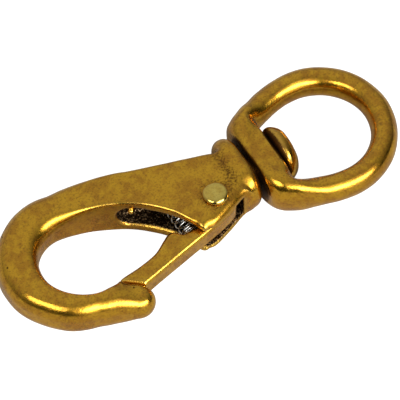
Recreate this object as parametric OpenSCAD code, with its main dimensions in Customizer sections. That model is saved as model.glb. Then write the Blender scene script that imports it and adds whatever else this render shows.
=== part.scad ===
// Cast brass swivel-eye snap hook with a sprung lever gate, lying flat.
// Millimetres. Origin: centre of the eye's opening, on the swivel axis, mid-thickness.
// +X from the hook to the crown of the eye, the gate is on the -Y side, +Z is up.

/* [Eye] */
// Radius of the crown's centre line
crown_r = 16.2; // [15.8:0.1:17]
// Half width of the eye's bar, in the plane of the eye
bar_r = 3.3; // [3:0.1:3.5]
// Extra straight length in the bar's section, through the thickness
bar_flat = 1; // [0.6:0.1:1.4]
// Half thickness of the base that turns on the post
base_h = 6; // [5.6:0.1:6.4]

/* [Hook body] */
// Radius of the outside of the bow
bow_out_r = 18.75; // [18.4:0.05:19]
// Radius of the inside of the bow
bow_in_r = 11.3; // [11.2:0.1:11.9]
// Half thickness of the bow
bow_h = 5.9; // [5.5:0.1:6.2]
// Half thickness of the shank and its two cheeks
cheek_h = 6.75; // [6.6:0.05:6.9]
// Half width of the slot between the cheeks
slot_h = 3.7; // [3.5:0.1:3.9]
// Radius of the knob on the end of the hook
knob_r = 4.1; // [3.9:0.1:4.3]

/* [Gate] */
// Half thickness of the gate
gate_h = 3; // [2.8:0.1:3.1]
// Radius of the gate's hub
hub_r = 4.3; // [4:0.1:4.4]
// Radius of the gate's rivet
pin_r = 2; // [1.8:0.1:2.2]
// Radius of the rivet's heads
head_r = 3.2; // [3:0.1:3.4]
// Height of the rivet's heads
head_t = 1.4; // [1.1:0.1:1.6]

/* [Spring] */
// Radius of the spring's wire
wire_r = 0.28; // [0.25:0.01:0.3]
// Radius of the coil's centre line
coil_r = 2.05; // [1.9:0.05:2.1]
// Number of turns
turns = 8.9; // [8:0.1:9.5]

/* [Swivel post] */
// Radius of the post
post_r = 3; // [2.8:0.1:3.2]
// Radius of the button head inside the eye
button_r = 7.5; // [7.2:0.1:7.8]

/* [Hidden] */
$fn = 64;
slip = 0.06;               // radial clearance of the two running fits

// Eye
side_r = 24.9;             // radius of each side's centre line, tangent to the crown
side_a = 41;               // how far each side turns before it enters the base
base_x = [-20.6, -13.8];
base_w = 12.1;             // half width of the base
base_round = 2.6;

// Hook body
bow_out = [-73, -0.7];     // centre of the bow's outside
bow_in = [-70.75, -3.05];  // centre of the bow's inside
shoulder = 0.42;           // how much fuller than a circle the bow's outside is at the back
flat = 0.5;                // how much flatter it is in front
swell = 0.75;              // bulge of the straight back edge near the bow
throat_r = 31;             // arc from the bow's inside to the cheek's corner
throat = [bow_in[0], bow_in[1] + bow_in_r - throat_r];
top_a = [-67.1, 17.3];      // straight back edge, from the bow to the collar
top_b = [-26, 5.45];
knob = [-64.75, -19.45];
seat = [-66.9, -13.35];    // the seat slopes down from here, under the gate's tip
seat_a = -36;
collar_x = [-26.6, -21.9];
collar_y = 0.7;
collar_w = 9.9;            // half width of the oval collar
collar_h = 6.9;
collar_round = 1.6;
slot_end = [-53.3, 3.4];   // centre of the slot's round end, on the throat
slot_dir = 62.5;           // direction of that end's axis in the plan

// Gate
pin = [-34.3, -5.5];

// Spring: from the pocket in the gate's edge up to the slot's floor
spring_from = [-43.1, -8.88];
spring_to = [-43.5, 3.9];

function dir2(a) = [cos(a), sin(a)];
function along(a, b, t) = a + (b - a) * t;
function bell(x, centre, width) = exp(-pow((x - centre) / width, 2));
function back_y(x) = top_a[1] + (x - top_a[0]) * (top_b[1] - top_a[1]) / (top_b[0] - top_a[0])
    + swell * bell(x, -62.5, 9);
function back(x) = [x, back_y(x)];
function throat_at(x) = [x, throat[1] + sqrt(throat_r * throat_r - pow(x - throat[0], 2))];

// Catmull-Rom run through a list of points
function cr(a, b, c, d, t) =
    0.5 * (2 * b + (c - a) * t + (2 * a - 5 * b + 4 * c - d) * t * t
    + (3 * b - a - 3 * c + d) * t * t * t);
function run(p, n) = let (m = len(p) - 1) concat(
    [for (i = [0 : m - 1]) for (k = [0 : n - 1])
        cr(p[max(i - 1, 0)], p[i], p[i + 1], p[min(i + 2, m)], k / n)],
    [p[m]]);

// Closed solid through rings of equal length
module skin(rings) {
    n = len(rings);
    m = len(rings[0]);
    pts = [for (r = rings) each r];
    sides = [for (i = [0 : n - 2]) for (j = [0 : m - 1])
        let (a = i * m + j, b = i * m + (j + 1) % m, c = a + m, d = b + m)
        each [[a, b, d], [a, d, c]]];
    first = [for (j = [m - 1 : -1 : 0]) j];
    last = [for (j = [0 : m - 1]) (n - 1) * m + j];
    polyhedron(pts, concat(sides, [first, last]), convexity = 8);
}

// Section of the casting from its inner edge a to its outer edge b, half thickness h:
// broad rounding ro outside and small rounding ri inside
function casting_ring(a, b, h, ro, ri) =
    let (w = norm(b - a), u = (b - a) / w, ao = min(ro, 0.62 * w), bo = min(ro, 0.85 * h),
        quarter = concat(
            [for (t = [0 : 18 : 90]) [w - ao + ao * cos(t), h - bo + bo * sin(t)]],
            [for (t = [90 : 30 : 180]) [ri + ri * cos(t), h - ri + ri * sin(t)]]),
        whole = concat(quarter, [for (i = [len(quarter) - 1 : -1 : 0]) [quarter[i][0], -quarter[i][1]]]))
    [for (q = whole) [a[0] + u[0] * q[0], a[1] + u[1] * q[0], q[1]]];

function bow_ring(t) =
    let (u = dir2(t), v = bow_out - bow_in, s = u * v,
        w = s + sqrt(bow_out_r * bow_out_r - v * v + s * s)
            + shoulder * bell(t, 96, 20) - flat * bell(t, 218, 20))
    casting_ring(bow_in + u * bow_in_r, bow_in + u * w, bow_h, 4.4, 1.8);

function blend(x) = let (t = min(max((x + 71) / 20, 0), 1)) t * t * (3 - 2 * t);
function shank_ring(a, b, more = 0) =
    let (s = blend((a[0] + b[0]) / 2))
    casting_ring(a, b, bow_h + (cheek_h - bow_h) * s, 4.4 - 2.9 * s, 1.8 - 0.4 * s + more);

module hook_casting() {
    skin(concat(
        [shank_ring([-24, -6.9], back(-24), 1),
         shank_ring([-33, -10.3], back(-33), 1),
         shank_ring([-37.4, -11.95], back(-37.4), 1),
         shank_ring([-38.9, -12.3], back(-39), 1),
         shank_ring([-40.4, -12.15], back(-40.5), 0.8),
         shank_ring([-41.6, -11.4], back(-42), 0.4)],
        [for (x = [-42.8, -44.6, -47, -50, -53.5, -57.5, -62, -66.5])
            shank_ring(throat_at(x), back(x - 0.8 - 2.6 * (x + 66.5) / 23.7))],
        [for (i = [0 : 16]) bow_ring(88 + i * 182 / 16)],
        [casting_ring([-68.4, -13.95], [-69.2, -20.7], 5.8, 3.8, 1.8),
         casting_ring([-66.1, -13.1], [-67.2, -22.3], 5.3, 3.8, 1.6),
         casting_ring([-64.2, -14.2], [-65, -23], 4.6, 3.8, 1.4),
         casting_ring([-62.6, -16], [-62.9, -22.6], 3.6, 3.2, 1.2)]));
    translate([knob[0], knob[1], 0]) sphere(r = knob_r);
}

// Oval plate across the swivel axis, w and h its half sizes, with rounded rims
module oval_plate(x0, x1, w, h, round) {
    module rim() {
        rotate_extrude() {
            square([h - round, x1 - x0]);
            translate([0, round]) square([h, x1 - x0 - 2 * round]);
            for (y = [round, x1 - x0 - round]) translate([h - round, y]) circle(r = round);
        }
    }
    translate([x0, 0, 0]) rotate([0, 90, 0]) {
        for (s = [-1, 1]) translate([0, s * (w - h), 0]) rim();
        translate([0, w - h, 0]) rotate([90, 0, 0]) linear_extrude(2 * (w - h)) {
            translate([-h, round]) square([2 * h, x1 - x0 - 2 * round]);
            translate([round - h, 0]) square([2 * (h - round), x1 - x0]);
            for (x = [round - h, h - round]) for (y = [round, x1 - x0 - round])
                translate([x, y]) circle(r = round);
        }
    }
}

// The slot: its plan, cut to a round end where it meets the throat
module slot_cut() {
    u = dir2(slot_dir);
    mouth = slot_end - u * 8 - dir2(slot_dir - 90) * 6;
    intersection() {
        translate([0, 0, -5]) linear_extrude(10)
            polygon(concat([mouth, [-58, 6.9]],
                run([[-52.5, 6.8], [-50, 6.2], [-43.5, 4.5], [-33.5, 2.9], [-27.75, 1.4]], 3),
                [[-27.75, -18], [-52, -18]]));
        translate([slot_end[0], slot_end[1], 0]) rotate([0, 0, slot_dir - 90]) rotate([90, 0, 0])
            translate([0, 0, -20]) linear_extrude(60) {
                circle(r = slot_h);
                translate([0, -slot_h]) square([60, 2 * slot_h]);
            }
    }
}

module hook_body() {
    color("goldenrod") difference() {
        union() {
            hook_casting();
            translate([0, collar_y, 0])
                oval_plate(collar_x[0], collar_x[1], collar_w, collar_h, collar_round);
        }
        slot_cut();
        translate([pin[0], pin[1], -10]) cylinder(r = pin_r, h = 20);
        translate([-29, 0, 0]) rotate([0, 90, 0]) cylinder(r = post_r, h = 10);
        // flat seat for the gate's tip
        translate([seat[0], seat[1], -8]) rotate([0, 0, seat_a])
            translate([-1, 0, 0]) cube([9, 4, 16]);
    }
}

module gate() {
    gap = 0.3;             // between the tip and its seat
    lift = dir2(seat_a + 90) * gap;
    tip_in = seat + lift + dir2(seat_a) * 0.2;
    tip_out = seat + lift + dir2(seat_a) * 6.9;
    inner = concat(
        run([tip_in, [-65.1, -12.5], [-60, -11.8], [-54.75, -10.5], [-51, -8.3],
            [-49.4, -7.35], [-48.2, -7.1], [-47.2, -7.45], [-46.5, -8.2], [-45.9, -8.85]], 4),
        // pocket for the spring
        [[-45.6, -8.95], [-40.7, -8.95], [-40.4, -8.75], [-40.3, -8.4]],
        run([[-40.25, -4.4], [-39.4, -3.3], [-38, -2.9]], 4));
    outer = run([[-29.7, -8.2], [-31, -9.3], [-36, -11.1], [-46, -13.5], tip_out], 3);
    color("darkgoldenrod") difference() {
        union() {
            translate([0, 0, -gate_h]) linear_extrude(2 * gate_h)
                polygon(concat(inner, [[-34.3, -2.6], [-31.4, -3.6]], outer));
            translate([pin[0], pin[1], -gate_h]) cylinder(r = hub_r, h = 2 * gate_h);
        }
        translate([pin[0], pin[1], -5]) cylinder(r = pin_r + slip, h = 10);
    }
}

module gate_pin() {
    cap_r = 4.6;
    color("gold") translate([pin[0], pin[1], 0]) {
        translate([0, 0, -cheek_h]) cylinder(r = pin_r, h = 2 * cheek_h);
        for (s = [0, 1]) mirror([0, 0, s]) translate([0, 0, cheek_h]) intersection() {
            cylinder(r = head_r, h = head_t);
            translate([0, 0, head_t + 0.25 - cap_r]) sphere(r = cap_r);
        }
    }
}

module gate_spring() {
    sides = 8;
    steps = 16;
    base = [spring_from[0], spring_from[1], 0];
    axis = [spring_to[0] - base[0], spring_to[1] - base[1], 0];
    free = norm(axis) - 2 * wire_r;
    w = axis / norm(axis);
    u = cross([0, 0, 1], w);
    n = round(turns * steps);
    dead = 1.5;            // closed turns at each end
    pack = 0.62;           // rise of each of them
    rise = (free - 2 * pack * dead) / (turns - 2 * dead);
    function height(t) = t < dead ? pack * t
        : t > turns - dead ? free - pack * (turns - t) : pack * dead + rise * (t - dead);
    color("silver") skin([for (i = [0 : n])
        let (t = turns * i / n, a = 360 * (t - 0.29), out = u * cos(a) + [0, 0, 1] * sin(a),
            c = base + w * (wire_r + height(t)) + out * coil_r)
        [for (j = [0 : sides - 1]) let (b = 360 * j / sides)
            c + out * wire_r * cos(b) + w * wire_r * sin(b)]]);
}

module swivel_post() {
    head_x = base_x[1] + 0.35;
    dome = 12;
    color("peru") rotate([0, 90, 0]) {
        translate([0, 0, collar_x[0] - 1.55]) cylinder(r = post_r, h = head_x - collar_x[0] + 1.55);
        translate([0, 0, head_x]) rotate_extrude() intersection() {
            translate([0, 4.9 - dome]) circle(r = dome);
            union() {
                square([button_r - 1.4, 5]);
                translate([0, 1.4]) square([button_r, 1.2]);
                for (y = [1.4, 2.6]) translate([button_r - 1.4, y]) circle(r = 1.4);
            }
            square([button_r, 5]);
        }
    }
}

module swivel_eye() {
    color("orange") difference() {
        union() {
            rotate([0, 0, -90]) rotate_extrude(angle = 180) bar_section(crown_r);
            for (s = [0, 1]) mirror([0, s, 0]) translate([0, crown_r - side_r, 0])
                rotate([0, 0, 90]) rotate_extrude(angle = side_a) bar_section(side_r);
            base_block();
        }
        translate([-22, 0, 0]) rotate([0, 90, 0]) cylinder(r = post_r + slip, h = 9);
    }
}

module bar_section(r) {
    translate([r - bar_r, -bar_flat / 2]) square([2 * bar_r, bar_flat]);
    for (s = [-1, 1]) translate([r, s * bar_flat / 2]) circle(r = bar_r);
}

module base_block() {
    w = base_x[1] - base_x[0];
    intersection() {
        translate([base_x[0], 0, -8]) linear_extrude(16) {
            translate([0, base_round - base_w]) square([w, 2 * (base_w - base_round)]);
            translate([base_round, -base_w]) square([w - 2 * base_round, 2 * base_w]);
            for (x = [base_round, w - base_round]) for (s = [-1, 1])
                translate([x, s * (base_w - base_round)]) circle(r = base_round);
        }
        oval_plate(base_x[0], base_x[1], base_w + 2, base_h, 1.8);
    }
}

hook_body();
gate();
gate_pin();
gate_spring();
swivel_post();
swivel_eye();
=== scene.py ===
import logging
import math
from collections.abc import Callable, Sequence
from dataclasses import dataclass
from enum import Enum

import bmesh
import bpy
import numpy as np
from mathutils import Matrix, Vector


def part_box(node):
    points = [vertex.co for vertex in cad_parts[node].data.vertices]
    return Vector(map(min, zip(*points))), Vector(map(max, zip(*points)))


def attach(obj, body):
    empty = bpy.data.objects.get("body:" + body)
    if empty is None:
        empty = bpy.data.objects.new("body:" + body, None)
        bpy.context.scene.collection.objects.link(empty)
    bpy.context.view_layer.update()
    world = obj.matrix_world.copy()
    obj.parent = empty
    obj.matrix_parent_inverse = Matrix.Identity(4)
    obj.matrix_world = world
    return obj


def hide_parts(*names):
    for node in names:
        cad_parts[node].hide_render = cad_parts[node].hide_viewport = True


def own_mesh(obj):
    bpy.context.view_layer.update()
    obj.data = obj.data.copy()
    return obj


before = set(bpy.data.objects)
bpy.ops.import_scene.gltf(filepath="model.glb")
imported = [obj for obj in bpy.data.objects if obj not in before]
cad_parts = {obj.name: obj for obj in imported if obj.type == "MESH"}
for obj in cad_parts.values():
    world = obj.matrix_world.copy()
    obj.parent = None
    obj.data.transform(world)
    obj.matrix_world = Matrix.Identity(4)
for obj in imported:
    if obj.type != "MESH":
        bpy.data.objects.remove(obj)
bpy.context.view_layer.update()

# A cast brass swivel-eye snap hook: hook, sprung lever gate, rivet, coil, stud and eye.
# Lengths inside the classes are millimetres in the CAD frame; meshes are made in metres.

log = logging.getLogger("snap_hook")
MM = 0.001
Field = Callable[[np.ndarray], np.ndarray]
Point = tuple[float, float]
Span = tuple[float, float]


class Grain(Enum):
    """Mesh fineness of a casting, as the cell edge in millimetres."""

    BROAD = 0.34
    FINE = 0.2
    TINY = 0.13

    def cell(self) -> float:
        return self.value * 1.0


# ---------------------------------------------------------------- shape arithmetic


def ramp(x: np.ndarray, start: float, end: float) -> np.ndarray:
    """Smooth step from 0 at start to 1 at end."""
    t = np.clip((x - start) / (end - start), 0.0, 1.0)
    return t * t * (3.0 - 2.0 * t)


def bell(x: np.ndarray, centre: float, width: float) -> np.ndarray:
    """Smooth hump of height 1 at centre that fades over width to each side."""
    return np.exp(-(((x - centre) / width) ** 2))


def rounded_meet(a: np.ndarray, b: np.ndarray, ra: np.ndarray, rb: np.ndarray) -> np.ndarray:
    """Intersection of two solids whose common edge has an elliptical rounding.

    Args:
        a: Signed distance to the first solid.
        b: Signed distance to the second solid.
        ra: Rounding measured inward from the first solid's face.
        rb: Rounding measured inward from the second solid's face.

    Returns:
        Signed distance to the rounded intersection.
    """
    ra = np.broadcast_to(ra, a.shape)
    rb = np.broadcast_to(rb, a.shape)
    u = np.maximum(a + ra, 0.0) / ra
    v = np.maximum(b + rb, 0.0) / rb
    curve = (np.sqrt(u * u + v * v) - 1.0) * np.minimum(ra, rb)
    return np.where((a > -ra) & (b > -rb), curve, np.maximum(a, b))


def soft_union(a: np.ndarray, b: np.ndarray, width: float | np.ndarray) -> np.ndarray:
    """Union of two solids with a fillet about as wide as width."""
    h = np.maximum(width - np.abs(a - b), 0.0) / width
    return np.minimum(a, b) - h * h * width * 0.25


def soft_meet(a: np.ndarray, b: np.ndarray, width: float | np.ndarray) -> np.ndarray:
    """Intersection of two solids with an eased edge about as wide as width."""
    return -soft_union(-a, -b, width)


def arc(centre: Point, radius: float, start: float, end: float, count: int) -> list[Point]:
    """Points along an arc, from the start angle to the end angle in degrees."""
    angles = np.radians(np.linspace(start, end, count))
    return [(centre[0] + radius * math.cos(t), centre[1] + radius * math.sin(t)) for t in angles]


def flowing(points: Sequence[Point], parts: int = 6) -> list[Point]:
    """Catmull-Rom run through the points, ends included.

    Args:
        points: Points that the run passes through.
        parts: Pieces between one point and the next.

    Returns:
        The finer run of points.
    """
    p = np.array([points[0], *points, points[-1]], float)
    out = []
    for i in range(1, len(p) - 2):
        a, b, c, d = p[i - 1], p[i], p[i + 1], p[i + 2]
        for t in np.linspace(0.0, 1.0, parts, endpoint=False):
            out.append(0.5 * (2 * b + (c - a) * t + (2 * a - 5 * b + 4 * c - d) * t**2
                              + (3 * b - a - 3 * c + d) * t**3))
    out.append(p[-2])
    return [tuple(q) for q in out]


class PlanOutline:
    """A closed outline in the plan, as a smooth signed-distance map (inside is negative)."""

    def __init__(self, points: Sequence[Point], margin: float = 9.0, cell: float = 0.22) -> None:
        """Measure the outline's distance map.

        Args:
            points: Corners of the outline, in order.
            margin: How far the map reaches past the outline.
            cell: Spacing of the map in millimetres.
        """
        p = np.array(points, float)
        self.low = p.min(0) - margin
        self.cell = cell
        size = np.ceil((p.max(0) + margin - self.low) / cell).astype(int) + 1
        xs = self.low[0] + np.arange(size[0]) * cell
        ys = self.low[1] + np.arange(size[1]) * cell
        gx, gy = (g.ravel() for g in np.meshgrid(xs, ys, indexing="ij"))
        self.map = self._measure(p, gx, gy).reshape(size)

    @staticmethod
    def _measure(p: np.ndarray, x: np.ndarray, y: np.ndarray) -> np.ndarray:
        """Exact signed distance to a polygon.

        Args:
            p: The polygon's corners, in order.
            x: First coordinates of the points.
            y: Second coordinates of the points.

        Returns:
            One distance for each point, negative inside.
        """
        best = np.full(x.shape, 1e9)
        inside = np.zeros(x.shape, bool)
        for a, b in zip(p, np.roll(p, -1, 0)):
            e = b - a
            length2 = float(e @ e)
            if length2 < 1e-12:
                continue
            t = np.clip(((x - a[0]) * e[0] + (y - a[1]) * e[1]) / length2, 0.0, 1.0)
            best = np.minimum(best, (x - a[0] - t * e[0]) ** 2 + (y - a[1] - t * e[1]) ** 2)
            if a[1] != b[1]:
                crossing = a[0] + (y - a[1]) * e[0] / e[1]
                inside ^= ((a[1] > y) != (b[1] > y)) & (x < crossing)
        return np.where(inside, -1.0, 1.0) * np.sqrt(best)

    def __call__(self, x: np.ndarray, y: np.ndarray) -> np.ndarray:
        """Read the map with a cubic B-spline, so that it has no facets.

        Args:
            x: First coordinates of the points.
            y: Second coordinates of the points.

        Returns:
            Signed distance at each point.
        """
        fx = np.clip((x - self.low[0]) / self.cell, 1.0, self.map.shape[0] - 3.001)
        fy = np.clip((y - self.low[1]) / self.cell, 1.0, self.map.shape[1] - 3.001)
        i, j = fx.astype(int), fy.astype(int)
        wx, wy = self._weights(fx - i), self._weights(fy - j)
        total = np.zeros(x.shape)
        for a in range(4):
            for b in range(4):
                total += wx[a] * wy[b] * self.map[i + a - 1, j + b - 1]
        return total

    @staticmethod
    def _weights(t: np.ndarray) -> tuple[np.ndarray, ...]:
        """Cubic B-spline weights of the four neighbours at offset t from the second of them."""
        return (
            (1 - t) ** 3 / 6,
            (3 * t**3 - 6 * t**2 + 4) / 6,
            (-3 * t**3 + 3 * t**2 + 3 * t + 1) / 6,
            t**3 / 6,
        )


class Ripple:
    """The slow unevenness that hand tumbling leaves on a casting."""

    COUNT = 14

    def __init__(self, seed: int, depth: float, shortest: float = 3.5, longest: float = 13.0) -> None:
        """Draw the waves.

        Args:
            seed: Fixes the draw.
            depth: Rough height of the waves in millimetres.
            shortest: Shortest wavelength in millimetres.
            longest: Longest wavelength in millimetres.
        """
        rng = np.random.default_rng(seed)
        way = rng.normal(size=(self.COUNT, 3))
        way /= np.linalg.norm(way, axis=1, keepdims=True)
        length = np.geomspace(shortest, longest, self.COUNT)
        self.waves = way * (2 * math.pi / length)[:, None]
        self.shift = rng.uniform(0, 2 * math.pi, self.COUNT)
        self.height = depth * (length / length.max()) ** 1.2 / math.sqrt(self.COUNT / 2)

    def __call__(self, p: np.ndarray) -> np.ndarray:
        """Height of the waves.

        Args:
            p: Points in millimetres.

        Returns:
            One height for each point.
        """
        total = np.zeros(len(p))
        for wave, shift, height in zip(self.waves, self.shift, self.height):
            total += height * np.sin(p @ wave + shift)
        return total


# ---------------------------------------------------------------- meshing


# The eight corners of a mesh cell, and its twelve edges as pairs of corner numbers.
CORNERS = np.array([
    (0, 0, 0), (1, 0, 0), (0, 1, 0), (1, 1, 0), (0, 0, 1), (1, 0, 1), (0, 1, 1), (1, 1, 1),
])
EDGES = (
    (0, 1), (2, 3), (4, 5), (6, 7), (0, 2), (1, 3), (4, 6), (5, 7), (0, 4), (1, 5), (2, 6), (3, 7),
)
SLAB_POINTS = 250_000
SETTLE_PASSES = 3
LEAST_STEEP = 0.05
# Empty cells before and after the search box; uneven, so that no flat face falls on the grid.
CELLS_BEFORE = 1.37
CELLS_AFTER = 1.5


def slope(field: Field, p: np.ndarray, reach: float = 0.03) -> np.ndarray:
    """Gradient of a field, by central differences.

    Args:
        field: Signed distance, in millimetres.
        p: Points at which to measure.
        reach: Half the distance between the two samples.

    Returns:
        One gradient for each point.
    """
    g = np.empty_like(p)
    for axis in range(3):
        step = np.zeros(3)
        step[axis] = reach
        g[:, axis] = (field(p + step) - field(p - step)) / (2 * reach)
    return g


def sample(field: Field, axes: Sequence[np.ndarray]) -> np.ndarray:
    """Values of the field at every grid point.

    Args:
        field: Signed distance, in millimetres.
        axes: The grid's coordinates along x, y and z.

    Returns:
        The values, indexed by x, y and z.
    """
    count = tuple(len(axis) for axis in axes)
    values = np.empty(count)
    plane = np.stack(np.meshgrid(axes[1], axes[2], indexing="ij"), -1).reshape(-1, 2)
    slab = max(1, SLAB_POINTS // len(plane))
    for start in range(0, count[0], slab):
        xs = axes[0][start:start + slab]
        points = np.column_stack([np.repeat(xs, len(plane)), np.tile(plane, (len(xs), 1))])
        values[start:start + slab] = field(points).reshape(len(xs), count[1], count[2])
    return values


def place_vertices(values: np.ndarray) -> tuple[np.ndarray, np.ndarray]:
    """One vertex in each cell that the surface crosses, amid the crossings of its edges.

    Args:
        values: The field at every grid point.

    Returns:
        Vertices, counted in cells from the grid's corner, and the vertex number of each cell.
    """
    count = np.array(values.shape)
    windows = [tuple(slice(c[k], count[k] - 1 + c[k]) for k in range(3)) for c in CORNERS]
    solid = values < 0
    total = sum(solid[w].astype(np.int8) for w in windows)
    cells = np.argwhere((total > 0) & (total < len(CORNERS)))
    number = np.full(tuple(count - 1), -1, np.int64)
    number[tuple(cells.T)] = np.arange(len(cells))
    at = np.stack([values[w][tuple(cells.T)] for w in windows], 1)
    spot = np.zeros((len(cells), 3))
    hits = np.zeros(len(cells))
    for a, b in EDGES:
        va, vb = at[:, a], at[:, b]
        crossed = (va < 0) != (vb < 0)
        t = np.where(crossed, va / np.where(crossed, va - vb, 1.0), 0.0)[:, None]
        spot += np.where(crossed[:, None], CORNERS[a] + t * (CORNERS[b] - CORNERS[a]), 0.0)
        hits += crossed
    return cells + spot / hits[:, None], number


def join_quads(solid: np.ndarray, number: np.ndarray) -> np.ndarray:
    """Quads, facing outward, around every grid edge that passes through the surface.

    Args:
        solid: Whether each grid point is inside.
        number: The vertex number of each cell.

    Returns:
        Rows of four vertex numbers.
    """
    count = solid.shape
    quads = []
    for axis in range(3):
        other = [(axis + 1) % 3, (axis + 2) % 3]
        near = [slice(0, n) for n in count]
        far = [slice(0, n) for n in count]
        near[axis], far[axis] = slice(0, count[axis] - 1), slice(1, count[axis])
        leaving = solid[tuple(near)] & ~solid[tuple(far)]
        entering = ~solid[tuple(near)] & solid[tuple(far)]
        for change, order in ((leaving, (0, 1, 2, 3)), (entering, (3, 2, 1, 0))):
            at_edge = np.argwhere(change)
            ring = []
            for back_a, back_b in ((0, 0), (1, 0), (1, 1), (0, 1)):
                q = at_edge.copy()
                q[:, other[0]] -= back_a
                q[:, other[1]] -= back_b
                ring.append(number[tuple(q.T)])
            quads.append(np.stack([ring[k] for k in order], 1))
    return np.concatenate(quads)


def settle(field: Field, vertices: np.ndarray, reach: float) -> np.ndarray:
    """Slide the vertices onto the surface.

    Args:
        field: Signed distance, in millimetres.
        vertices: Points near the surface.
        reach: The furthest that one pass moves a point.

    Returns:
        The moved points.
    """
    for _ in range(SETTLE_PASSES):
        d = field(vertices)
        g = slope(field, vertices)
        steep = np.maximum((g * g).sum(1), LEAST_STEEP)
        move = (d / steep)[:, None] * g
        far_off = np.linalg.norm(move, axis=1, keepdims=True)
        vertices = vertices - move * np.minimum(1.0, reach / np.maximum(far_off, 1e-9))
    return vertices


def skin(field: Field, low: np.ndarray, high: np.ndarray,
         cell: float) -> tuple[np.ndarray, np.ndarray]:
    """Quad mesh of the surface where the field is zero.

    Args:
        field: Signed distance, in millimetres.
        low: Lowest corner of the search box.
        high: Highest corner of the search box.
        cell: Edge of a mesh cell.

    Returns:
        Vertices in millimetres and quads of vertex numbers.
    """
    low = low - cell * CELLS_BEFORE
    count = np.ceil((high + cell * CELLS_AFTER - low) / cell).astype(int) + 1
    values = sample(field, [low[k] + np.arange(count[k]) * cell for k in range(3)])
    spots, number = place_vertices(values)
    return settle(field, low + spots * cell, 0.5 * cell), join_quads(values < 0, number)


def put_mesh(name: str, vertices: np.ndarray, faces: np.ndarray,
             traits: dict[str, np.ndarray]) -> bpy.types.Object:
    """Make a smooth-shaded object.

    Args:
        name: Name of the piece.
        vertices: Points in millimetres.
        faces: Rows of vertex numbers, all the same length.
        traits: Point values that the finishes read, by name.

    Returns:
        The new object, linked to the scene.
    """
    mesh = bpy.data.meshes.new(name)
    size = faces.shape[1]
    mesh.vertices.add(len(vertices))
    mesh.vertices.foreach_set("co", (vertices * MM).astype(np.float32).ravel())
    mesh.loops.add(faces.size)
    mesh.loops.foreach_set("vertex_index", faces.astype(np.int32).ravel())
    mesh.polygons.add(len(faces))
    mesh.polygons.foreach_set("loop_start", np.arange(0, faces.size, size, dtype=np.int32))
    mesh.update(calc_edges=True)
    mesh.validate()
    mesh.shade_smooth()
    for trait, values in traits.items():
        layer = mesh.attributes.new(trait, "FLOAT", "POINT")
        layer.data.foreach_set("value", values.astype(np.float32))
    piece = bpy.data.objects.new(name, mesh)
    bpy.context.scene.collection.objects.link(piece)
    return piece


def bend(field: Field, p: np.ndarray, reach: float) -> np.ndarray:
    """How sharply a surface bends.

    Args:
        field: Signed distance, in millimetres.
        p: Points on the surface.
        reach: Distance over which the bend is felt.

    Returns:
        One value for each point: positive on edges, negative in corners.
    """
    total = -6.0 * field(p)
    for axis in range(3):
        step = np.zeros(3)
        step[axis] = reach
        total += field(p + step) + field(p - step)
    return total / reach


# ---------------------------------------------------------------- colours and nodes


def linear(code: str) -> tuple[float, float, float, float]:
    """An sRGB hex colour as linear red, green, blue and alpha."""
    parts = [int(code.lstrip("#")[k:k + 2], 16) / 255 for k in (0, 2, 4)]
    return (*(c / 12.92 if c <= 0.04045 else ((c + 0.055) / 1.055) ** 2.4 for c in parts), 1.0)


def per_mm(size: float) -> float:
    """Texture scale at which a feature measures size millimetres."""
    return 1.0 / (size * MM)


def add_node(tree: bpy.types.NodeTree, kind: str, inputs: dict | None = None,
             **settings: object) -> bpy.types.Node:
    """Add one node with its settings and links.

    Args:
        tree: The node tree.
        kind: The node's type name.
        inputs: Socket name or number to a value, or to the output socket that feeds it.
        settings: The node's own properties.

    Returns:
        The new node.
    """
    node = tree.nodes.new(kind)
    for key, value in settings.items():
        setattr(node, key, value)
    for key, value in (inputs or {}).items():
        if isinstance(value, bpy.types.NodeSocket):
            tree.links.new(value, node.inputs[key])
        else:
            node.inputs[key].default_value = value
    return node


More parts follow.
